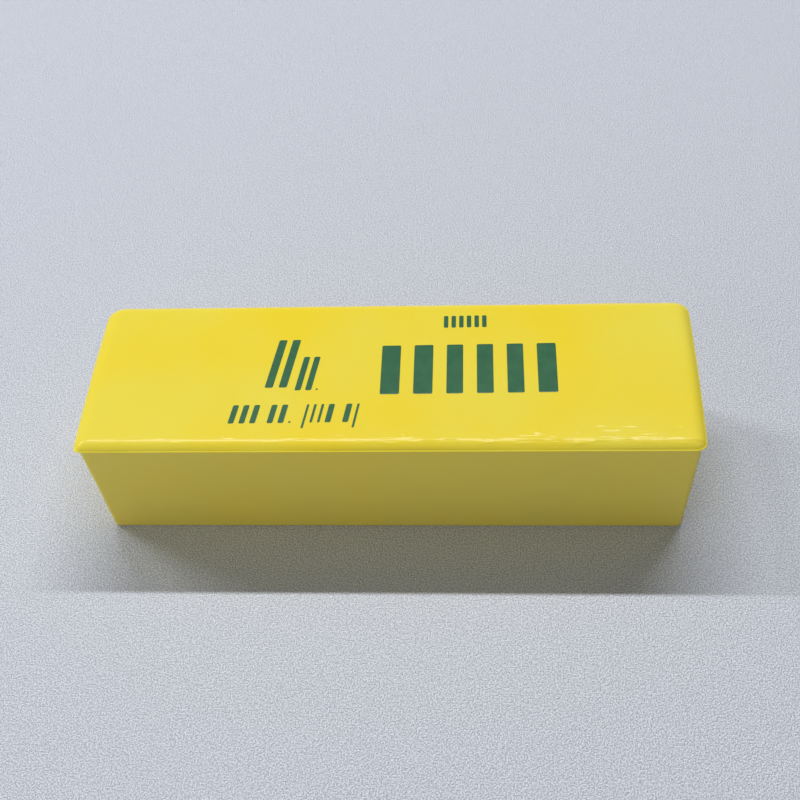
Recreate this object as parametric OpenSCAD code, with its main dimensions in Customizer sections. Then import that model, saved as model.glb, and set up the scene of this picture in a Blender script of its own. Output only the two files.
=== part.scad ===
// Toy copy of a stick of butter: a moulded soft block with drafted walls, and a printed
// top layer whose edge slopes down in an arc to a thin lip past the walls.
// Origin: middle of the resting face. X runs along the block, Z is up. Millimetres.

/* [Block] */
// Length over the lip, at the middle of the ends
block_l = 121; // [80:1:180]
// Width over the lip
block_w = 39.5; // [26:0.5:60]
// Height from the resting face to the top face
block_h = 27.5; // [16:0.5:50]
// How far each end bows out between its corners
end_bow = 0.25; // [0:0.05:1]

/* [Walls] */
// Draft of the walls, which lean in towards the resting face, in degrees
wall_draft = 3; // [0:0.5:6]
// Radius of the block's upright corners
wall_corner_r = 1.0; // [0.4:0.1:3]
// Radius of the edge round the resting face
base_edge_r = 0.4; // [0.1:0.1:1.5]

/* [Top layer] */
// Thickness of the top layer, from the underside of its lip to the top face
layer_t = 1.2; // [0.8:0.1:4]
// Radius of the top layer's corners, seen from above
layer_corner_r = 3.2; // [1.5:0.1:8]
// Width of the sloping edge round the top face, seen from above
edge_run = 2.3; // [1:0.1:5]
// Thickness of the lip
lip_t = 0.3; // [0.2:0.05:0.5]
// How far the lip stands out past the sloping edge above it
lip_bead = 0.2; // [0.05:0.05:0.4]
// How far the lip stands out past the walls under it
lip_overhang = 0.8; // [0.5:0.1:1.5]

/* [Fineness] */
// Steps round each corner, seen from above
corner_steps = 8; // [4:1:12]
// Steps along each bowed end
end_steps = 8; // [4:2:16]
// Steps over each rounded edge
edge_steps = 6; // [3:1:10]

/* [Hidden] */

butter_yellow = [0.94, 0.85, 0.25];
printed_yellow = [0.96, 0.87, 0.24];

// Height of the seam, where the top layer lies on the block
seam_z = block_h - layer_t;

// Least upright height between the lip and the sloping edge above it
least_upright = 0.05;

// The sloping edge is an arc that leaves the top face level and steepens down to the lip. On a
// layer thicker than the slope is wide, it is a quarter circle and stands higher above the lip.
edge_drop = min(layer_t - lip_t - least_upright, edge_run);
edge_turn = 2 * atan(edge_drop / edge_run);
edge_r = edge_run / sin(edge_turn);

// The walls' corners stay under the lip at this radius or more. On the diagonal, a corner lies
// r * (sqrt(2) - 1) + inset * sqrt(2) inside the sharp one, for the walls and the lip alike.
under_lip_r = layer_corner_r - lip_bead - (lip_overhang - lip_bead) * sqrt(2) / (sqrt(2) - 1);
wall_r = max(wall_corner_r, under_lip_r);

// Smallest corner radius that an outline keeps when it is drawn inside another one
least_corner_r = 0.2;

// One corner of an outline: an arc of a quarter turn round [x, y], starting at angle a
function corner(x, y, r, a) = [
    for (k = [0 : corner_steps])
        [x + r * cos(a + 90 * k / corner_steps), y + r * sin(a + 90 * k / corner_steps)]
];

// The points between the corners of one end, at x, from y to -y
function end_line(x, y) = [
    for (k = [1 : end_steps - 1])
        [x, y * (1 - 2 * k / end_steps)]
];

// Rounded rectangle that lies inset inside the lip's outline, anticlockwise seen from above.
// Its ends bow out: they are full length at their middle and end_bow shorter at the corners.
function outline(inset, corner_r) =
    let (
        half_w = block_w / 2 - inset,
        r = max(corner_r, least_corner_r),
        x = block_l / 2 - inset - r,
        y = half_w - r,
        square_ended = concat(
            corner(x, y, r, 0),
            corner(-x, y, r, 90),
            end_line(-x - r, y),
            corner(-x, -y, r, 180),
            corner(x, -y, r, 270),
            end_line(x + r, -y)
        )
    )
    [for (p = square_ended) [p[0] - sign(p[0]) * end_bow * pow(p[1] / half_w, 2), p[1]]];

// Closed solid over a list of level outlines, each given as [points, height], lowest first
module stack(levels) {
    n = len(levels[0][0]);
    top = len(levels) - 1;
    side_faces = [
        for (i = [0 : top - 1], j = [0 : n - 1])
            let (a = i * n + j, b = i * n + (j + 1) % n)
            each [[a, a + n, b + n], [a, b + n, b]]
    ];
    polyhedron(
        points = [for (level = levels) each [for (p = level[0]) [p[0], p[1], level[1]]]],
        faces = concat(
            [[for (j = [0 : n - 1]) j]],
            side_faces,
            [[for (j = [n - 1 : -1 : 0]) top * n + j]]
        )
    );
}

// How far inside the lip the wall stands at height z
function wall_inset(z) = lip_overhang + (seam_z - z) * tan(wall_draft);

// The rounded edge of the resting face, from the face up to the wall
function base_edge_levels() = [
    for (k = [0 : edge_steps - 1])
        let (
            a = 90 * k / edge_steps,
            cut_back = base_edge_r * (1 - sin(a)),
            z = base_edge_r * (1 - cos(a))
        )
        [outline(wall_inset(z) + cut_back, wall_r - cut_back), z]
];

module block() {
    wall_levels = [
        for (z = [base_edge_r, seam_z])
            [outline(wall_inset(z), wall_r), z]
    ];
    color(butter_yellow)
        stack(concat(base_edge_levels(), wall_levels));
}

// The half-round lip, from its underside up to where it meets the sloping edge
function lip_levels() = [
    for (k = [0 : edge_steps])
        let (
            a = -90 + 180 * k / edge_steps,
            cut_back = lip_bead * (1 - cos(a))
        )
        [outline(cut_back, layer_corner_r - cut_back), seam_z + lip_t / 2 * (1 + sin(a))]
];

// The sloping edge of the top layer, from above the lip up to the top face
function sloping_edge_levels() = [
    for (k = [0 : edge_steps])
        let (
            tilt = edge_turn * (1 - k / edge_steps),
            cut_back = lip_bead + edge_run - edge_r * sin(tilt)
        )
        [outline(cut_back, layer_corner_r - cut_back), block_h - edge_r * (1 - cos(tilt))]
];

module top_layer() {
    color(printed_yellow)
        stack(concat(lip_levels(), sloping_edge_levels()));
}

block();
top_layer();
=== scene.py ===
"""A toy copy of a stick of butter, lying on a pale table under two long tube lights.

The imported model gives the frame: a lower block and a top layer. Each is replaced here by a moulded
rubber surface that keeps its size and adds what moulding leaves behind, such as a softly uneven
skin, ripples along the front edge, bubbles and a thin uneven lip. The green print on the top is a
set of plain marks, each one a thin plate of ink that lies on the skin.

X runs along the block, Z is up, and the foot of the print faces -Y. Everything is in metres.
"""

import math

import bmesh
import bpy
import numpy as np
from mathutils import Matrix, Vector


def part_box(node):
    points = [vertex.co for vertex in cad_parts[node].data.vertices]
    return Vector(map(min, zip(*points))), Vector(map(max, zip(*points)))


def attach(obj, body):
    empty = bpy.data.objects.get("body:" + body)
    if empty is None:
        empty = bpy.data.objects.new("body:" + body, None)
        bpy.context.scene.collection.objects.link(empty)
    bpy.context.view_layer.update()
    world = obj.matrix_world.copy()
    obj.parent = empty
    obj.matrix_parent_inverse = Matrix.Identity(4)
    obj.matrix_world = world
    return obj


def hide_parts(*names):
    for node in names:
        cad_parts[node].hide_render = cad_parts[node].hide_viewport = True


bl_info = {
    "name": "Toy Butter Block",
    "version": (1, 0, 0),
    "blender": (4, 5, 0),
    "location": "View3D > Sidebar > Toy Butter",
    "description": "Builds a moulded toy copy of a stick of butter, with its print and a stage",
    "category": "Add Mesh",
}

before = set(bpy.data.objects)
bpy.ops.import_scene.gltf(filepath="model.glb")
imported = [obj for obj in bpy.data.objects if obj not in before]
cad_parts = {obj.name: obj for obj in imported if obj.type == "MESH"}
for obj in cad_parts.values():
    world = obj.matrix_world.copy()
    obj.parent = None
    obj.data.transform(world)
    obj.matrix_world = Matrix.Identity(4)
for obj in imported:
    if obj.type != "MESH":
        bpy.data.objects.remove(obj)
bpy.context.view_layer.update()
BLOCK_LOW, BLOCK_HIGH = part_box("block")
LAYER_LOW, LAYER_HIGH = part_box("top_layer")

MM = 0.001

# Points of one piece that are nearer to each other than this are merged
MERGE_DISTANCE = 0.0001 * MM

# Half sizes of the lip's outline, and the heights of the seam and the top face
HALF_X = (LAYER_HIGH.x - LAYER_LOW.x) / 2
HALF_Y = (LAYER_HIGH.y - LAYER_LOW.y) / 2
SEAM_Z = LAYER_LOW.z
TOP_Z = LAYER_HIGH.z
OVERHANG = HALF_Y - (BLOCK_HIGH.y - BLOCK_LOW.y) / 2


# ---------------------------------------------------------------- sizes and colours


def length(name, description, default):
    """A length in metres that a user may change."""
    return bpy.props.FloatProperty(
        name=name, description=description, default=default, unit="LENGTH", precision=5
    )


def colour(name, description, default):
    """A linear colour."""
    return bpy.props.FloatVectorProperty(
        name=name, description=description, default=default, min=0, max=1, subtype="COLOR"
    )


def angle(name, description, degrees):
    """An angle, whose default is given in degrees."""
    return bpy.props.FloatProperty(
        name=name, description=description, default=math.radians(degrees), subtype="ANGLE"
    )


class ToyButterShape(bpy.types.PropertyGroup):
    """Sizes of the moulded rubber that the frame's boxes don't give."""

    end_bow: length("End bow", "How far each end bows out between its corners", 0.25 * MM)
    draft: angle("Wall draft", "How far the walls lean in towards the table", 3.0)
    wall_corner: length("Wall corner", "Radius of the block's upright corners", 1.0 * MM)
    base_edge: length("Base edge", "Radius of the edge round the resting face", 0.4 * MM)
    layer_corner: length("Layer corner", "Radius of the top layer's corners from above", 3.2 * MM)
    edge_run: length("Edge width", "Width of the sloping edge round the top face", 3.2 * MM)
    edge_ease: bpy.props.FloatProperty(
        name="Edge ease",
        description="2 bends the sloping edge evenly, more keeps it level longer",
        default=3.5,
    )
    lip_thickness: length("Lip thickness", "Thickness of the lip", 0.3 * MM)
    lip_bead: length("Lip bead", "How far the lip stands out past the edge above it", 0.3 * MM)
    swell: length("Swell", "Height of the skin's broad unevenness", 0.035 * MM)
    lip_waver: length("Lip waver", "How far the lip's rim wanders in and out", 0.05 * MM)
    ripple: length("Ripple", "Height of the tallest ripples along the front edge", 0.034 * MM)
    ripple_count: bpy.props.IntProperty(
        name="Ripples", description="How many ripples lie along the front edge", default=150
    )


class ToyButterPrint(bpy.types.PropertyGroup):
    """Sizes of the print on the top face."""

    turn: angle("Turn", "How far the whole print is turned on the face", 0.6)
    lean: angle("Lean", "How far the leaning marks lean", 8.0)
    thickness: length("Ink thickness", "Thickness of the ink on the skin", 0.03 * MM)
    corner: length("Mark corner", "Radius of the marks' corners", 0.3 * MM)


class ToyButterColours(bpy.types.PropertyGroup):
    """Linear colours of the rubber, the ink and the table."""

    top: colour("Top", "Rubber of the top layer", (0.92, 0.70, 0.030))
    top_pale: colour("Pale top", "Rubber of the top layer where it is paler", (0.865, 0.748, 0.092))
    wall: colour("Wall", "Rubber of the block", (0.88, 0.69, 0.083))
    wall_dull: colour("Dull wall", "Rubber of the block where it is duller", (0.82, 0.68, 0.12))
    ink: colour("Ink", "Ink of the print", (0.03, 0.122, 0.066))
    ink_thin: colour("Thin ink", "Ink of the print where it is thin", (0.046, 0.165, 0.074))
    table: colour("Table", "Table top", (0.445, 0.47, 0.535))
    table_fleck: colour("Table fleck", "Pale flecks in the table top", (0.785, 0.82, 0.915))


class ToyButterStage(bpy.types.PropertyGroup):
    """Camera and lights."""

    lens: bpy.props.FloatProperty(
        name="Lens", description="Focal length in millimetres on a 36 mm sensor", default=58.92
    )
    distance: length("Distance", "From the camera to the point it looks at", 254.1 * MM)
    azimuth: angle("Azimuth", "How far the camera stands round towards +X", 6.38)
    elevation: angle("Elevation", "How far the camera looks down", 48.11)
    roll: angle("Roll", "How far the camera leans to its left", 5.1)
    aim_x: length("Aim along", "Where the camera looks on the top face, along X", 2.42 * MM)
    aim_y: length("Aim across", "Where the camera looks on the top face, along Y", -7.51 * MM)
    tube_length: length("Tube length", "Length of the tube light", 1.3)
    tube_width: length("Tube width", "Width of the tube lights", 0.04)
    tube_side: length("Tube side", "How far the tube light is moved along X", 0.05)
    tube_distance: length("Tube distance", "From the block to the tube light", 1.5)
    tube_elevation: angle("Tube elevation", "Height of the tube light behind the block", 62.3)
    tube_power: bpy.props.FloatProperty(
        name="Tube power", description="Power of the tube light in watts", default=16.1
    )
    far_tube_length: length("Far tube length", "Length of the second tube light", 1.0)
    far_tube_side: length("Far tube side", "How far the second tube light is moved along X", -1.35)
    far_tube_power: bpy.props.FloatProperty(
        name="Far tube power", description="Power of the second tube light in watts", default=13.8
    )
    fill_power: bpy.props.FloatProperty(
        name="Fill power",
        description="Power of the soft light at the front left in watts",
        default=1.2,
    )
    fill_bearing: angle("Fill bearing", "Where the soft light stands, round from +X", -134)
    fill_elevation: angle("Fill elevation", "Height of the soft light", 18)
    fill_distance: length("Fill distance", "From the block to the soft light", 0.6)
    fill_width: length("Fill width", "Width of the soft light", 0.9)
    fill_height: length("Fill height", "Height of the soft light's face", 0.5)
    sky_strength: bpy.props.FloatProperty(
        name="Sky strength",
        description="Brightness of the soft light from all round",
        default=0.142,
    )
    sky: colour("Sky", "Colour of the soft light from all round", (0.96, 0.98, 1.0))


# ---------------------------------------------------------------- surfaces


class Outline:
    """A rounded rectangle described without its size.

    A point lies at (side_x * (half_x - r) + turn_x * r, side_y * (half_y - r) + turn_y * r). On a
    corner's arc, side_x and side_y are the corner's signs and (turn_x, turn_y) turns through a
    quarter. On a straight stretch, (turn_x, turn_y) is its normal, and side_x or side_y runs from
    corner to corner. The points run anticlockwise as seen from above, from the foot's left corner.
    roundness gives each corner's share of the radius: front right, back right, back left, front
    left. It runs evenly from corner to corner on a straight stretch.
    """

    def __init__(self, long_points, end_points, corner_points, roundness=(1, 1, 1, 1)):
        rows, shares = [], []
        sweep = np.linspace(0, np.pi / 2, corner_points + 1)
        for quarter, points in enumerate((long_points, end_points, long_points, end_points)):
            start = -np.pi / 2 + quarter * np.pi / 2
            run = np.linspace(-1, 1, points + 1)[1:-1]
            normal = np.array((np.cos(start), np.sin(start)))
            along = np.array((-np.sin(start), np.cos(start)))
            middle = run[:, None] * along + normal
            rows.append(np.hstack((middle, np.broadcast_to(normal, middle.shape))))
            corner = np.broadcast_to(along + normal, (corner_points + 1, 2))
            arc = np.stack((np.cos(start + sweep), np.sin(start + sweep)), 1)
            rows.append(np.hstack((corner, arc)))
            before, after = roundness[quarter - 1], roundness[quarter]
            shares.append(before + (after - before) * (run + 1) / 2)
            shares.append(np.full(corner_points + 1, after))
        self.side_x, self.side_y, self.turn_x, self.turn_y = np.vstack(rows).T
        self.share = np.hstack(shares)

    def rings(self, half_x, half_y, inset, radius, height, bow=0.0):
        """One ring of points for each inset, corner radius and height, as (rings, points, 3).

        Each ring is the rounded rectangle of half_x by half_y drawn in by inset. The ends bow: x
        shrinks by a share that grows with the square of y, to bow at the corners.
        """
        inset, radius, height = (np.asarray(a, float)[:, None] for a in (inset, radius, height))
        radius = radius * self.share
        x = self.side_x * (half_x - inset - radius) + self.turn_x * radius
        y = self.side_y * (half_y - inset - radius) + self.turn_y * radius
        x = x * (1 - bow / half_x * (y / half_y) ** 2)
        return np.stack((x, y, np.broadcast_to(height, x.shape)), -1)


# A cross product shorter than this, in square metres, has no direction
NO_DIRECTION = 1e-13


def normals(grid):
    """Unit normals of a grid of rings: the slope along the ring crossed with the slope across it.

    Where a ring has shrunk to a line, the normal points straight down on the first half of the
    rings and straight up on the last.
    """
    along = np.roll(grid, -1, 1) - np.roll(grid, 1, 1)
    across = np.gradient(grid, axis=0)
    normal = np.cross(along, across)
    size = np.linalg.norm(normal, axis=-1, keepdims=True)
    upright = np.zeros_like(grid)
    upright[..., 2] = np.where(np.arange(len(grid)) < len(grid) / 2, -1.0, 1.0)[:, None]
    tiny = size < NO_DIRECTION
    return np.where(tiny, upright, normal / np.where(tiny, 1.0, size))


def ring_faces(rings, points):
    """Four-cornered faces between each ring and the next, facing outwards, as rows of indices."""
    ring, point = np.meshgrid(np.arange(rings - 1), np.arange(points), indexing="ij")
    following = (point + 1) % points
    lower, upper = ring * points, (ring + 1) * points
    corners = (lower + point, lower + following, upper + following, upper + point)
    return np.stack(corners, -1).reshape(-1, 4)


def surface_piece(name, grid, faces, material):
    """A smooth closed piece made of a grid's points and faces, with coinciding points merged."""
    mesh = bpy.data.meshes.new(name)
    mesh.from_pydata(grid.reshape(-1, 3), [], faces)
    work = bmesh.new()
    work.from_mesh(mesh)
    bmesh.ops.remove_doubles(work, verts=work.verts, dist=MERGE_DISTANCE)
    work.to_mesh(mesh)
    work.free()
    mesh.polygons.foreach_set("use_smooth", np.ones(len(mesh.polygons), bool))
    mesh.update()
    piece = bpy.data.objects.new(name, mesh)
    bpy.context.scene.collection.objects.link(piece)
    mesh.materials.append(material)
    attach(piece, "root")
    return piece


def smooth_step(x, low, high):
    """0 below low, 1 above high, and an S-shaped curve between."""
    t = np.clip((x - low) / (high - low), 0, 1)
    return t * t * (3 - 2 * t)


# Shortest and longest plane wave, as shares of the wave length asked for
WAVE_SHARES = (0.7, 1.5)

# Brings the mean of a few plane waves up to between about -1 and 1
ROLLING_GAIN = 1.6


def rolling(x, y, wave, seed, waves=6):
    """Smooth unevenness between about -1 and 1: plane waves about one wave long, in random
    directions and phases, added together."""
    rng = np.random.default_rng(seed)
    heading, phase = rng.uniform(0, 2 * np.pi, (2, waves))
    number = 2 * np.pi / (wave * rng.uniform(*WAVE_SHARES, waves))
    run = x[..., None] * np.cos(heading) + y[..., None] * np.sin(heading)
    return np.sin(run * number + phase).sum(-1) / waves * ROLLING_GAIN


def bells(x, y, centres, reach, heights):
    """Sum of bell-shaped bumps: each is height * exp(-(dx / reach_x)^2 - (dy / reach_y)^2)."""
    total = np.zeros_like(x)
    for (cx, cy), (rx, ry), height in zip(centres, reach, heights):
        total += height * np.exp(-(((x - cx) / rx) ** 2) - ((y - cy) / ry) ** 2)
    return total


# Small flaws in the top face, in millimetres: place from the middle in x and from the front lip in
# y, reach in x and y, height
FLAWS = (
    ((3.5, 3.6), (0.45, 0.35), 0.07),
    ((28.6, 3.9), (0.6, 0.45), 0.08),
    ((-31.2, 3.4), (0.3, 0.3), 0.05),
    ((-30.5, 20.7), (2.2, 1.6), -0.06),
    ((40.8, 5.6), (1.3, 0.28), 0.05),
    ((46.3, 5.4), (1.6, 0.28), 0.05),
    ((43.8, 4.6), (0.5, 0.25), 0.05),
)


# Waves of the top's long and short swell, and the height of the short one against the long one
LONG_SWELL, SHORT_SWELL = 40 * MM, 13 * MM
SHORT_SWELL_SHARE = 0.25

# Ripples along the front edge. Their places along it are a beta spread that crowds towards the
# right end. Their distances from the lip, in millimetres, are a gamma spread past the nearest.
RIPPLE_CROWDING = (0.9, 2.0)
RIPPLE_NEAREST = 1.2
RIPPLE_BACK = (1.3, 0.9)

# Least and greatest reach of a ripple along the edge and across it, in millimetres
RIPPLE_LENGTH = (0.34, 1.7)
RIPPLE_WIDTH = (0.16, 0.32)

# The lowest ripple's height against the tallest one's, the share of them that stand up, and the
# height of the rest, which are hollows, against those
LOWEST_RIPPLE = 0.15
RAISED_SHARE = 0.7
HOLLOW = -0.7

# How much taller the ripples grow towards the right end, and from where to where
RIPPLE_GROWTH = 0.6
GROWTH_START, GROWTH_END = 5 * MM, 50 * MM


def top_unevenness(x, y, shape):
    """How far the top skin stands off its smooth shape: broad swells, the ripples that lie along
    the front edge and thicken towards its right end, and a few single flaws."""
    low = shape.swell * rolling(x, y, LONG_SWELL, 3)
    low = low + SHORT_SWELL_SHARE * shape.swell * rolling(x, y, SHORT_SWELL, 4)
    rng = np.random.default_rng(21)
    count = shape.ripple_count
    along = HALF_X * (1 - 2 * rng.beta(*RIPPLE_CROWDING, count))
    back = (RIPPLE_NEAREST + rng.gamma(*RIPPLE_BACK, count)) * MM
    long, wide = rng.uniform(*RIPPLE_LENGTH, count), rng.uniform(*RIPPLE_WIDTH, count)
    reach = np.stack((long, wide), 1) * MM
    height = shape.ripple * rng.uniform(LOWEST_RIPPLE, 1, count)
    height = height * np.where(rng.random(count) < RAISED_SHARE, 1, HOLLOW)
    height *= 1 + RIPPLE_GROWTH * smooth_step(along, GROWTH_START, GROWTH_END)
    ripples = bells(x, y, np.stack((along, back - HALF_Y), 1), reach, height)
    places, reaches, heights = (np.array(part) * MM for part in zip(*FLAWS))
    places[:, 1] -= HALF_Y
    return low + ripples + bells(x, y, places, reaches, heights)


# How round each corner of the top layer came out: front right, back right, back left, front left
CORNER_SHARES = (0.65, 0.95, 1.05, 0.4)

# How much the corners' radius shrinks over the sloping edge, as a share of the edge's width
EDGE_TIGHTENING = 0.8

# Distance between the points along the front edge, and the width of the band of close rings
# inside the sloping edge, where the ripples lie
POINT_SPACING = 0.26 * MM
FINE_BAND = 5 * MM

# The lip's rim wanders in long random waves and in even ones, whose number round the layer and
# height against the random ones are given. Both are scaled and set in, as shares of the waver.
WAVER_WAVE = 17 * MM
EVEN_WAVES, EVEN_SHARE = 9, 0.6
WAVER_SCALE, WAVER_INSET = 0.5, 0.9


def top_layer_grid(shape):
    """The top layer as rings, from the middle of its underside out round the lip, up over the
    sloping edge and in to the middle of the top face.

    The lip is half an ellipse. The sloping edge falls from the top face by drop * u^ease, where u
    runs from 0 at its inner end to 1 above the lip. All points are then pushed along the normal by
    the skin's unevenness, and on the lip by its waver.
    """
    bead, run, corner = shape.lip_bead, shape.edge_run, shape.layer_corner
    shoulder = SEAM_Z + shape.lip_thickness
    spread = np.linspace(1, 0, 5)
    under = (bead + (HALF_Y - bead) * spread, (corner - bead) * (1 - spread), SEAM_Z + 0 * spread)
    t = np.linspace(-np.pi / 2, np.pi / 2, 9)[1:]
    cut = bead * (1 - np.cos(t))
    lip = (cut, corner - cut, SEAM_Z + shape.lip_thickness / 2 * (1 + np.sin(t)))
    u = np.linspace(1, 0, 33)[1:]
    flat = bead + run
    tightened = EDGE_TIGHTENING * run * (1 - u)
    fall = (TOP_Z - shoulder) * u**shape.edge_ease
    edge = (flat - run * u, corner - bead - tightened, TOP_Z - fall)
    fine = flat + np.linspace(0, FINE_BAND, 27)[1:]
    coarse = fine[-1] + (HALF_Y - fine[-1]) * np.linspace(0, 1, 13)[1:] ** 1.2
    inward = np.hstack((fine, coarse))
    shrink = 1 - (inward - flat) / (HALF_Y - flat)
    face = (inward, edge[1][-1] * shrink, TOP_Z + 0 * inward)
    inset, radius, height = (np.hstack(part) for part in zip(under, lip, edge, face))
    long_points = round(2 * (HALF_X - corner) / POINT_SPACING)
    outline = Outline(long_points, 56, 12, CORNER_SHARES)
    grid = outline.rings(HALF_X, HALF_Y, inset, radius, height, shape.end_bow)
    out = normals(grid)
    x, y, z = np.moveaxis(grid, -1, 0)
    above_lip = smooth_step(z, shoulder, shoulder + 0.5 * (TOP_Z - shoulder))
    push = top_unevenness(x, y, shape) * above_lip
    around = np.arctan2(y * HALF_X / HALF_Y, x)
    waver = rolling(x, y, WAVER_WAVE, 8) + EVEN_SHARE * np.sin(EVEN_WAVES * around)
    on_lip = (inset < bead) & (height < shoulder + 0.01 * shape.lip_thickness)
    rim = (waver * WAVER_SCALE - WAVER_INSET) * shape.lip_waver
    push = push + np.where(on_lip[:, None], rim, 0)
    return grid + out * push[..., None]


# The walls' swell: its wave, its height against the top's, and how much shorter it is upwards
WALL_WAVE = 26 * MM
WALL_SWELL_SHARE = 1.5
WALL_SQUEEZE = 1.5

# The walls are even within this distance of the seam, and this many edge radii above the table
EVEN_UNDER_SEAM = 2 * MM
EVEN_OVER_EDGE = 6


def block_grid(shape):
    """The lower block as rings, from the middle of its resting face out round its edge, up its
    drafted walls and in to the middle of its upper face, which the top layer covers.

    A wall's inset falls with height by the tangent of the draft. The edge is a quarter circle.
    """
    lean = math.tan(shape.draft)
    edge = shape.base_edge
    spread = np.linspace(1, 0, 7)
    floor_inset = OVERHANG + SEAM_Z * lean + edge
    floor = (
        floor_inset + (HALF_Y - floor_inset) * spread,
        (shape.wall_corner - edge) * (1 - spread),
        0 * spread,
    )
    t = np.linspace(0, np.pi / 2, 9)[1:]
    cut, rise = edge * (1 - np.sin(t)), edge * (1 - np.cos(t))
    foot = (OVERHANG + (SEAM_Z - rise) * lean + cut, shape.wall_corner - cut, rise)
    rise = np.linspace(edge, SEAM_Z, 41)[1:]
    wall = (OVERHANG + (SEAM_Z - rise) * lean, shape.wall_corner + 0 * rise, rise)
    spread = np.linspace(0, 1, 7)[1:]
    cover = (
        OVERHANG + (HALF_Y - OVERHANG) * spread,
        shape.wall_corner * (1 - spread),
        SEAM_Z + 0 * spread,
    )
    inset, radius, height = (np.hstack(part) for part in zip(floor, foot, wall, cover))
    outline = Outline(190, 60, 10)
    grid = outline.rings(HALF_X, HALF_Y, inset, radius, height, shape.end_bow)
    out = normals(grid)
    x, y, z = np.moveaxis(grid, -1, 0)
    above_edge = smooth_step(z, 0.3 * edge, EVEN_OVER_EDGE * edge)
    on_wall = above_edge * smooth_step(SEAM_Z - z, 0, EVEN_UNDER_SEAM)
    swell = rolling(x + y, z * WALL_SQUEEZE, WALL_WAVE, 5)
    push = shape.swell * WALL_SWELL_SHARE * swell * on_wall
    return grid + out * push[..., None]


# ---------------------------------------------------------------- print

# Rows of marks on the top face. Each row has its left and right ends, its foot and its height in
# millimetres, whether it leans, and its rhythm: W, M and N are wide, middling and narrow marks, T
# is a narrow mark that also reaches lower, D is a dot, and a space is a wide gap.
ROWS = {
    "print_large": ((-1.7, 33.0), -6.0, 13.2, False, "WWMMMW"),
    "print_caption": ((10.6, 19.3), 12.0, 3.4, False, "WWWWWW"),
    "print_tall": ((-24.6, -20.2), -3.8, 13.0, True, "WW"),
    "print_short": ((-18.6, -14.0), -4.6, 9.0, True, "WWD"),
    "print_row": ((-30.9, -6.1), -13.0, 4.7, True, "MMM MMD TNNM MT"),
}
WIDTHS = {"W": 1.0, "M": 0.86, "N": 0.38, "T": 0.34, "D": 0.34}
GAP, SPACE = 0.72, 1.7

# How far a T reaches under its row's foot, as a share of the row's height
TAIL = 0.3

# The rings of a mark's plate: how far in from the rim each lies, as a share of the way to the
# middle, and how far it is lifted off the skin, as a share of the ink's thickness
PLATE_INWARD = (1, 0.5, 0, 0, 0.02, 0.1, 0.3, 0.6, 1.0)
PLATE_LIFT = (-1, -1, -1, 0.5, 1, 1, 1, 1, 1)

# Greatest radius of a mark's corners, as a share of its smaller half size
MOST_ROUND = 0.9


def row_marks(ends, foot, height, rhythm):
    """Middles and half sizes of one row's marks, as (marks, 4). The widths and gaps follow the
    rhythm and are stretched together so that the row runs from end to end."""
    pieces, at = [], 0.0
    for kind in rhythm:
        if kind == " ":
            at += SPACE - GAP
            continue
        pieces.append((at, WIDTHS[kind], kind))
        at += WIDTHS[kind] + GAP
    unit = (ends[1] - ends[0]) / (at - GAP)
    marks = []
    for start, width, kind in pieces:
        low = foot - TAIL * height if kind == "T" else foot
        high = foot + width * unit if kind == "D" else foot + height
        middle = ends[0] + (start + width / 2) * unit
        marks.append((middle, (low + high) / 2, width * unit / 2, (high - low) / 2))
    return np.array(marks) * MM


def mark_grids(marks, lean, settings, shape):
    """Thin closed plates on the skin, one for each mark, as (marks, rings, points, 3).

    Each plate is a rounded rectangle. Its rings run from its middle underneath out to its rim, and
    over the rim back to its middle on top. The plate is sheared by the lean, turned with the whole
    print, and lifted so that it follows the skin.
    """
    outline = Outline(10, 12, 4)
    inward = np.array(PLATE_INWARD)
    lift = np.array(PLATE_LIFT) * settings.thickness
    x_mid, y_mid, x_half, y_half = marks.T[:, :, None, None]
    small = np.minimum(x_half, y_half)
    inset = inward[:, None] * small
    radius = np.minimum(settings.corner, small * MOST_ROUND) * (1 - inward[:, None])
    u = outline.side_x * (x_half - inset - radius) + outline.turn_x * radius
    v = outline.side_y * (y_half - inset - radius) + outline.turn_y * radius
    v = v + y_mid
    u = u + x_mid + (v - marks[0, 1] + marks[0, 3]) * math.tan(lean)
    cos, sin = math.cos(settings.turn), math.sin(settings.turn)
    x, y = u * cos - v * sin, u * sin + v * cos
    z = TOP_Z + top_unevenness(x, y, shape) + lift[:, None]
    return np.stack((x, y, z), -1)


# ---------------------------------------------------------------- shader parts


def add(tree, kind, inputs=None, **settings):
    """A shader node with its settings made, and each input set, or linked if given a socket."""
    node = tree.nodes.new(kind)
    for name, value in settings.items():
        setattr(node, name, value)
    for name, value in (inputs or {}).items():
        if isinstance(value, bpy.types.NodeSocket):
            tree.links.new(value, node.inputs[name])
        else:
            node.inputs[name].default_value = value
    return node


def shader_group(name, inputs, outputs):
    """An empty node group with named sockets, and its input and output nodes."""
    tree = bpy.data.node_groups.new(name, "ShaderNodeTree")
    for label, kind, default in inputs:
        socket = tree.interface.new_socket(name=label, in_out="INPUT", socket_type=kind)
        if default is not None:
            socket.default_value = default
    for label, kind in outputs:
        tree.interface.new_socket(name=label, in_out="OUTPUT", socket_type=kind)
    return tree, tree.nodes.new("NodeGroupInput"), tree.nodes.new("NodeGroupOutput")


FLOAT, COLOUR, VECTOR = "NodeSocketFloat", "NodeSocketColor", "NodeSocketVector"


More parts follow.
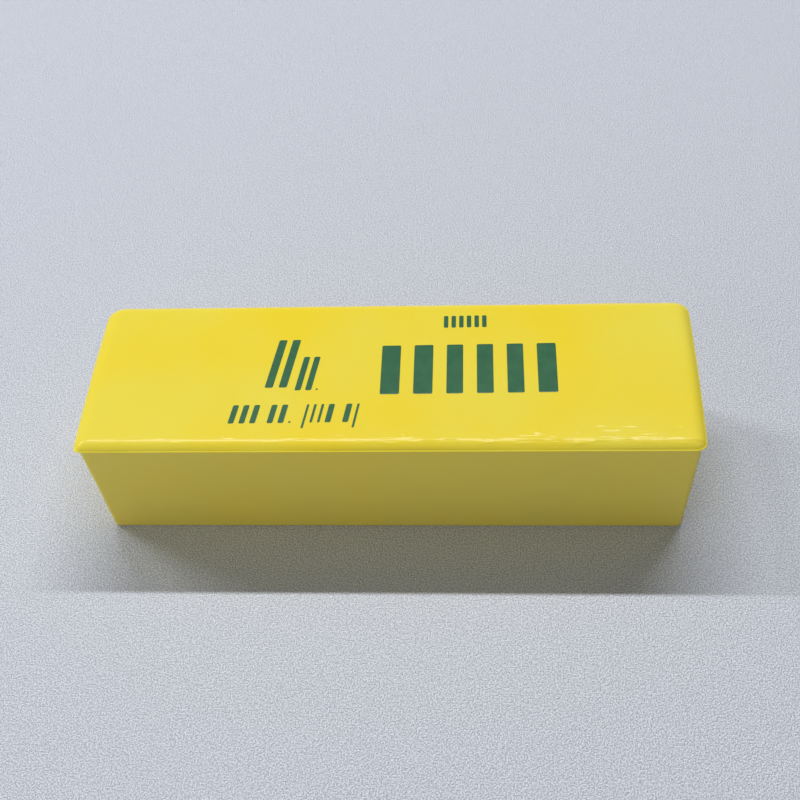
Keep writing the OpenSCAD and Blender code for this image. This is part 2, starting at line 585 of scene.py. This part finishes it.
def blotches_group():
    """Two colours that run into each other in soft blotches, with a finer mottle on top."""
    tree, given, made = shader_group(
        "blotches",
        (
            ("Vector", VECTOR, None),
            ("First", COLOUR, (1, 1, 1, 1)),
            ("Second", COLOUR, (0, 0, 0, 1)),
            ("Blotches per metre", FLOAT, 30.0),
            ("Contrast", FLOAT, 1.0),
        ),
        (("Color", COLOUR), ("Mask", FLOAT)),
    )
    broad = add(
        tree,
        "ShaderNodeTexNoise",
        {"Vector": given.outputs["Vector"], "Scale": given.outputs["Blotches per metre"],
         "Detail": 3.0, "Roughness": 0.45},
    )
    centred = add(tree, "ShaderNodeMath", {0: broad.outputs[0], 1: -0.5}, operation="ADD")
    spread = add(
        tree, "ShaderNodeMath", {0: centred.outputs[0], 1: given.outputs["Contrast"]},
        operation="MULTIPLY",
    )
    mask = add(
        tree, "ShaderNodeMath", {0: spread.outputs[0], 1: 0.5}, operation="ADD", use_clamp=True
    )
    mixed = add(
        tree,
        "ShaderNodeMix",
        {0: mask.outputs[0], 6: given.outputs["First"], 7: given.outputs["Second"]},
        data_type="RGBA",
    )
    tree.links.new(mixed.outputs[2], made.inputs["Color"])
    tree.links.new(mask.outputs[0], made.inputs["Mask"])
    return tree


def handling_group():
    """Roughness that wanders about a middle value, as the skin does where it has been handled."""
    tree, given, made = shader_group(
        "handling",
        (
            ("Vector", VECTOR, None),
            ("Roughness", FLOAT, 0.4),
            ("Spread", FLOAT, 0.1),
            ("Marks per metre", FLOAT, 90.0),
        ),
        (("Roughness", FLOAT),),
    )
    smears = add(
        tree,
        "ShaderNodeTexNoise",
        {"Vector": given.outputs["Vector"], "Scale": given.outputs["Marks per metre"],
         "Detail": 5.0, "Roughness": 0.6, "Distortion": 0.6},
    )
    centred = add(tree, "ShaderNodeMath", {0: smears.outputs[0], 1: -0.5}, operation="ADD")
    rough = add(
        tree,
        "ShaderNodeMath",
        {0: centred.outputs[0], 1: given.outputs["Spread"], 2: given.outputs["Roughness"]},
        operation="MULTIPLY_ADD",
        use_clamp=True,
    )
    tree.links.new(rough.outputs[0], made.inputs["Roughness"])
    return tree


def skin_group():
    """Height of a moulded skin: long shallow waves under a fine orange-peel grain."""
    tree, given, made = shader_group(
        "moulded_skin",
        (
            ("Vector", VECTOR, None),
            ("Waves per metre", FLOAT, 350.0),
            ("Grains per metre", FLOAT, 3000.0),
            ("Grain share", FLOAT, 0.3),
        ),
        (("Height", FLOAT),),
    )
    waves = add(
        tree,
        "ShaderNodeTexNoise",
        {"Vector": given.outputs["Vector"], "Scale": given.outputs["Waves per metre"],
         "Detail": 1.5},
    )
    grains = add(
        tree,
        "ShaderNodeTexNoise",
        {"Vector": given.outputs["Vector"], "Scale": given.outputs["Grains per metre"],
         "Detail": 2.0},
    )
    height = add(
        tree,
        "ShaderNodeMath",
        {0: grains.outputs[0], 1: given.outputs["Grain share"], 2: waves.outputs[0]},
        operation="MULTIPLY_ADD",
    )
    tree.links.new(height.outputs[0], made.inputs["Height"])
    return tree


def placed(tree, group, inputs):
    """A shader group placed in a material's tree."""
    return add(tree, "ShaderNodeGroup", inputs, node_tree=group)


def opaque(rgb):
    """A colour with full alpha."""
    return (*rgb, 1.0)


def shared_group(name, build):
    """The node group of that name, built if it isn't there yet."""
    return bpy.data.node_groups.get(name) or build()


# How the rubber bends light, how far its glow spreads in red, green and blue, and how deep
RUBBER_IOR = 1.42
GLOW_RADIUS = (1.0, 0.7, 0.12)
GLOW_DEPTH = 1.2 * MM


def rubber(name, first, second, stretch, look):
    """A moulded rubber material.

    first and second are its two colours, stretch draws its grain out along an axis, and look has
    the scale of its blotches and grain, its roughness and the strength of its gloss and glow.
    """
    material = bpy.data.materials.new(name)
    material.use_nodes = True
    tree = material.node_tree
    shader = tree.nodes["Principled BSDF"]
    place = add(tree, "ShaderNodeTexCoord").outputs["Object"]
    drawn = add(tree, "ShaderNodeMapping", {"Vector": place, "Scale": stretch}).outputs[0]
    tint = placed(
        tree,
        shared_group("blotches", blotches_group),
        {"Vector": place, "First": opaque(first), "Second": opaque(second),
         "Blotches per metre": look["blotches"], "Contrast": look["contrast"]},
    )
    rough = placed(
        tree,
        shared_group("handling", handling_group),
        {"Vector": place, "Roughness": look["roughness"], "Spread": look["spread"]},
    )
    skin = placed(
        tree,
        shared_group("moulded_skin", skin_group),
        {"Vector": drawn, "Waves per metre": look["waves"], "Grain share": look["grain"]},
    )
    bump = add(
        tree,
        "ShaderNodeBump",
        {"Height": skin.outputs[0], "Strength": 1.0, "Distance": look["depth"]},
    )
    tree.links.new(tint.outputs["Color"], shader.inputs["Base Color"])
    tree.links.new(rough.outputs[0], shader.inputs["Roughness"])
    tree.links.new(bump.outputs[0], shader.inputs["Normal"])
    shader.inputs["IOR"].default_value = RUBBER_IOR
    shader.inputs["Specular IOR Level"].default_value = look["gloss"]
    shader.inputs["Subsurface Weight"].default_value = look["glow"]
    shader.inputs["Subsurface Radius"].default_value = GLOW_RADIUS
    shader.inputs["Subsurface Scale"].default_value = GLOW_DEPTH
    return material


def ink_material(colours):
    """Satin green ink, thinner and paler in small blotches."""
    look = {"blotches": 400.0, "contrast": 1.6, "roughness": 0.24, "spread": 0.1, "waves": 700.0,
            "grain": 0.5, "depth": 0.004 * MM, "glow": 0.0, "gloss": 0.3}
    return rubber("print_ink", colours.ink, colours.ink_thin, (1, 1, 1), look)


# How far the table top lies below the base, and the shortest run of light that it stops
TABLE_GAP = 0.01 * MM
CLEAR_REACH = 10 * TABLE_GAP


def table_material(colours):
    """A pale table top with a fine sparkling grain.

    It can be seen through from below, and it is clear to light that crosses the hair's breadth
    between it and the base, so that the base shows lit from below.
    """
    look = {"blotches": 3600.0, "contrast": 5.4, "roughness": 0.62, "waves": 2600.0,
            "grains": 6000.0, "depth": 0.3 * MM}
    material = bpy.data.materials.new("table_top")
    material.use_nodes = True
    tree = material.node_tree
    shader = tree.nodes["Principled BSDF"]
    place = add(tree, "ShaderNodeTexCoord").outputs["Object"]
    tint = placed(
        tree,
        shared_group("blotches", blotches_group),
        {"Vector": place, "First": opaque(colours.table), "Second": opaque(colours.table_fleck),
         "Blotches per metre": look["blotches"], "Contrast": look["contrast"]},
    )
    skin = placed(
        tree,
        shared_group("moulded_skin", skin_group),
        {"Vector": place, "Waves per metre": look["waves"], "Grains per metre": look["grains"]},
    )
    bump = add(
        tree,
        "ShaderNodeBump",
        {"Height": skin.outputs[0], "Strength": 1.0, "Distance": look["depth"]},
    )
    tree.links.new(tint.outputs["Color"], shader.inputs["Base Color"])
    tree.links.new(bump.outputs[0], shader.inputs["Normal"])
    shader.inputs["Roughness"].default_value = look["roughness"]
    below = add(tree, "ShaderNodeNewGeometry").outputs["Backfacing"]
    reach = add(tree, "ShaderNodeLightPath").outputs["Ray Length"]
    crossing = add(tree, "ShaderNodeMath", {0: reach, 1: CLEAR_REACH}, operation="LESS_THAN")
    open_to = add(tree, "ShaderNodeMath", {0: below, 1: crossing.outputs[0]}, operation="MAXIMUM")
    clear = add(tree, "ShaderNodeBsdfTransparent").outputs[0]
    mixed = add(
        tree, "ShaderNodeMixShader", {0: open_to.outputs[0], 1: shader.outputs[0], 2: clear}
    )
    tree.links.new(mixed.outputs[0], tree.nodes["Material Output"].inputs["Surface"])
    return material


# ---------------------------------------------------------------- operators


class TOYBUTTER_OT_block(bpy.types.Operator):
    """Builds the lower block, with drafted satin walls and a small edge round its resting face"""

    bl_idname = "toybutter.block"
    bl_label = "Block"

    def execute(self, context):
        shape, colours = context.scene.toybutter_shape, context.scene.toybutter_colours
        look = {"blotches": 45.0, "contrast": 1.5, "roughness": 0.5, "spread": 0.12,
                "waves": 250.0, "grain": 0.25, "depth": 0.02 * MM, "glow": 0.12, "gloss": 0.4}
        material = rubber("block_rubber", colours.wall, colours.wall_dull, (0.25, 0.25, 1.6), look)
        grid = block_grid(shape)
        faces = ring_faces(*grid.shape[:2])
        piece = surface_piece("moulded_block", grid, faces, material)
        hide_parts("block")
        return {"FINISHED"}


class TOYBUTTER_OT_top_layer(bpy.types.Operator):
    """Builds the glossy top layer, with its sloping edge, its lip, and ripples at the front"""

    bl_idname = "toybutter.top_layer"
    bl_label = "Top layer"

    def execute(self, context):
        shape, colours = context.scene.toybutter_shape, context.scene.toybutter_colours
        look = {"blotches": 38.0, "contrast": 2.0, "roughness": 0.21, "spread": 0.08,
                "waves": 300.0, "grain": 0.08, "depth": 0.008 * MM, "glow": 0.12, "gloss": 0.19}
        material = rubber("top_rubber", colours.top, colours.top_pale, (1, 1, 1), look)
        grid = top_layer_grid(shape)
        faces = ring_faces(*grid.shape[:2])
        piece = surface_piece("moulded_top_layer", grid, faces, material)
        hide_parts("top_layer")
        return {"FINISHED"}


class TOYBUTTER_OT_print_marks(bpy.types.Operator):
    """Prints rows of plain marks on the top face, each mark a thin plate of ink"""

    bl_idname = "toybutter.print_marks"
    bl_label = "Print"

    def execute(self, context):
        shape, settings = context.scene.toybutter_shape, context.scene.toybutter_print
        material = ink_material(context.scene.toybutter_colours)
        for name, (ends, foot, height, leans, rhythm) in ROWS.items():
            marks = row_marks(ends, foot, height, rhythm)
            grids = mark_grids(marks, settings.lean if leans else 0.0, settings, shape)
            count, rings, points = grids.shape[:3]
            one = ring_faces(rings, points)
            faces = (one + np.arange(count)[:, None, None] * rings * points).reshape(-1, 4)
            surface_piece(name, grids, faces, material)
        return {"FINISHED"}


class TOYBUTTER_OT_stage(bpy.types.Operator):
    """Sets the table, the camera, two tube lights behind the block and the soft lights"""

    bl_idname = "toybutter.stage"
    bl_label = "Stage"

    def execute(self, context):
        scene = context.scene
        stage = scene.toybutter_stage
        self.table(table_material(scene.toybutter_colours))
        self.camera(scene, stage)
        self.tube(scene, stage, "tube", stage.tube_side, stage.tube_length, stage.tube_power)
        self.tube(scene, stage, "far_tube", stage.far_tube_side, stage.far_tube_length,
                  stage.far_tube_power)
        self.fill(scene, stage)
        self.sky(scene, stage)
        scene.view_settings.view_transform = "Standard"
        return {"FINISHED"}

    def table(self, material):
        """A flat table top, far wider than the block and a hair below its base."""
        reach, z = 20 * HALF_X, -TABLE_GAP
        corners = ((-reach, -reach, z), (reach, -reach, z), (reach, reach, z), (-reach, reach, z))
        mesh = bpy.data.meshes.new("table")
        mesh.from_pydata(corners, [], ((0, 1, 2, 3),))
        mesh.materials.append(material)
        table = bpy.data.objects.new("table", mesh)
        bpy.context.scene.collection.objects.link(table)

    def camera(self, scene, stage):
        """The camera looks down at the front of the block from a little to its right, and leans."""
        a, e, roll = stage.azimuth, stage.elevation, stage.roll
        back = Vector((math.sin(a) * math.cos(e), -math.cos(a) * math.cos(e), math.sin(e)))
        right = Vector((math.cos(a), math.sin(a), 0))
        up = back.cross(right)
        leaning_right = right * math.cos(roll) - up * math.sin(roll)
        leaning_up = right * math.sin(roll) + up * math.cos(roll)
        turned = Matrix((leaning_right, leaning_up, back)).transposed()
        aim = Vector((stage.aim_x, stage.aim_y, TOP_Z))
        data = bpy.data.cameras.new("camera")
        data.lens = stage.lens
        data.sensor_width = 36
        data.clip_start = 0.01
        camera = bpy.data.objects.new("camera", data)
        camera.matrix_world = Matrix.Translation(aim + back * stage.distance) @ turned.to_4x4()
        scene.collection.objects.link(camera)
        scene.camera = camera

    def tube(self, scene, stage, name, side, length, power):
        """A long narrow light behind the block and parallel to it. The nearer one draws the thin
        highlight along the front edge, and both draw the straight-edged shadow in front."""
        towards = Vector((0, math.cos(stage.tube_elevation), math.sin(stage.tube_elevation)))
        place = Vector((side, 0, TOP_Z)) + towards * stage.tube_distance
        self.area_light(scene, name, (length, stage.tube_width), power, place, towards)

    def fill(self, scene, stage):
        """A soft light that stands low at the front left and lifts the walls it faces."""
        bearing, rise = stage.fill_bearing, stage.fill_elevation
        level = Vector((math.cos(bearing), math.sin(bearing), 0)) * math.cos(rise)
        towards = level + Vector((0, 0, math.sin(rise)))
        size, place = (stage.fill_width, stage.fill_height), towards * stage.fill_distance
        self.area_light(scene, "fill", size, stage.fill_power, place, towards)

    def area_light(self, scene, name, size, power, place, towards):
        """A rectangular light at a place, with its back turned towards a direction."""
        data = bpy.data.lights.new(name, "AREA")
        data.shape = "RECTANGLE"
        data.size, data.size_y = size
        data.energy = power
        light = bpy.data.objects.new(name, data)
        light.location = place
        light.rotation_euler = towards.to_track_quat("Z", "Y").to_euler()
        scene.collection.objects.link(light)

    def sky(self, scene, stage):
        """Even soft light from all round."""
        world = bpy.data.worlds.new("sky")
        world.use_nodes = True
        background = world.node_tree.nodes["Background"]
        background.inputs["Color"].default_value = opaque(stage.sky)
        background.inputs["Strength"].default_value = stage.sky_strength
        scene.world = world


class TOYBUTTER_PT_panel(bpy.types.Panel):
    """Lists the steps that build the toy and its stage"""

    bl_label = "Toy Butter"
    bl_idname = "TOYBUTTER_PT_panel"
    bl_space_type = "VIEW_3D"
    bl_region_type = "UI"
    bl_category = "Toy Butter"

    def draw(self, context):
        layout = self.layout
        for name in ("shape", "print", "colours", "stage"):
            group = getattr(context.scene, "toybutter_" + name)
            box = layout.box()
            for key in group.__annotations__:
                box.prop(group, key)
        for operator in OPERATORS:
            layout.operator(operator.bl_idname)


GROUPS = {
    "toybutter_shape": ToyButterShape,
    "toybutter_print": ToyButterPrint,
    "toybutter_colours": ToyButterColours,
    "toybutter_stage": ToyButterStage,
}
OPERATORS = (
    TOYBUTTER_OT_block,
    TOYBUTTER_OT_top_layer,
    TOYBUTTER_OT_print_marks,
    TOYBUTTER_OT_stage,
)
CLASSES = (*GROUPS.values(), *OPERATORS, TOYBUTTER_PT_panel)


def register():
    for cls in CLASSES:
        bpy.utils.register_class(cls)
    for name, cls in GROUPS.items():
        setattr(bpy.types.Scene, name, bpy.props.PointerProperty(type=cls))


def unregister():
    for name in GROUPS:
        delattr(bpy.types.Scene, name)
    for cls in reversed(CLASSES):
        bpy.utils.unregister_class(cls)


def main():
    """Builds every piece and the stage."""
    register()
    bpy.ops.toybutter.block()
    bpy.ops.toybutter.top_layer()
    bpy.ops.toybutter.print_marks()
    bpy.ops.toybutter.stage()


if __name__ == "__main__":
    main()
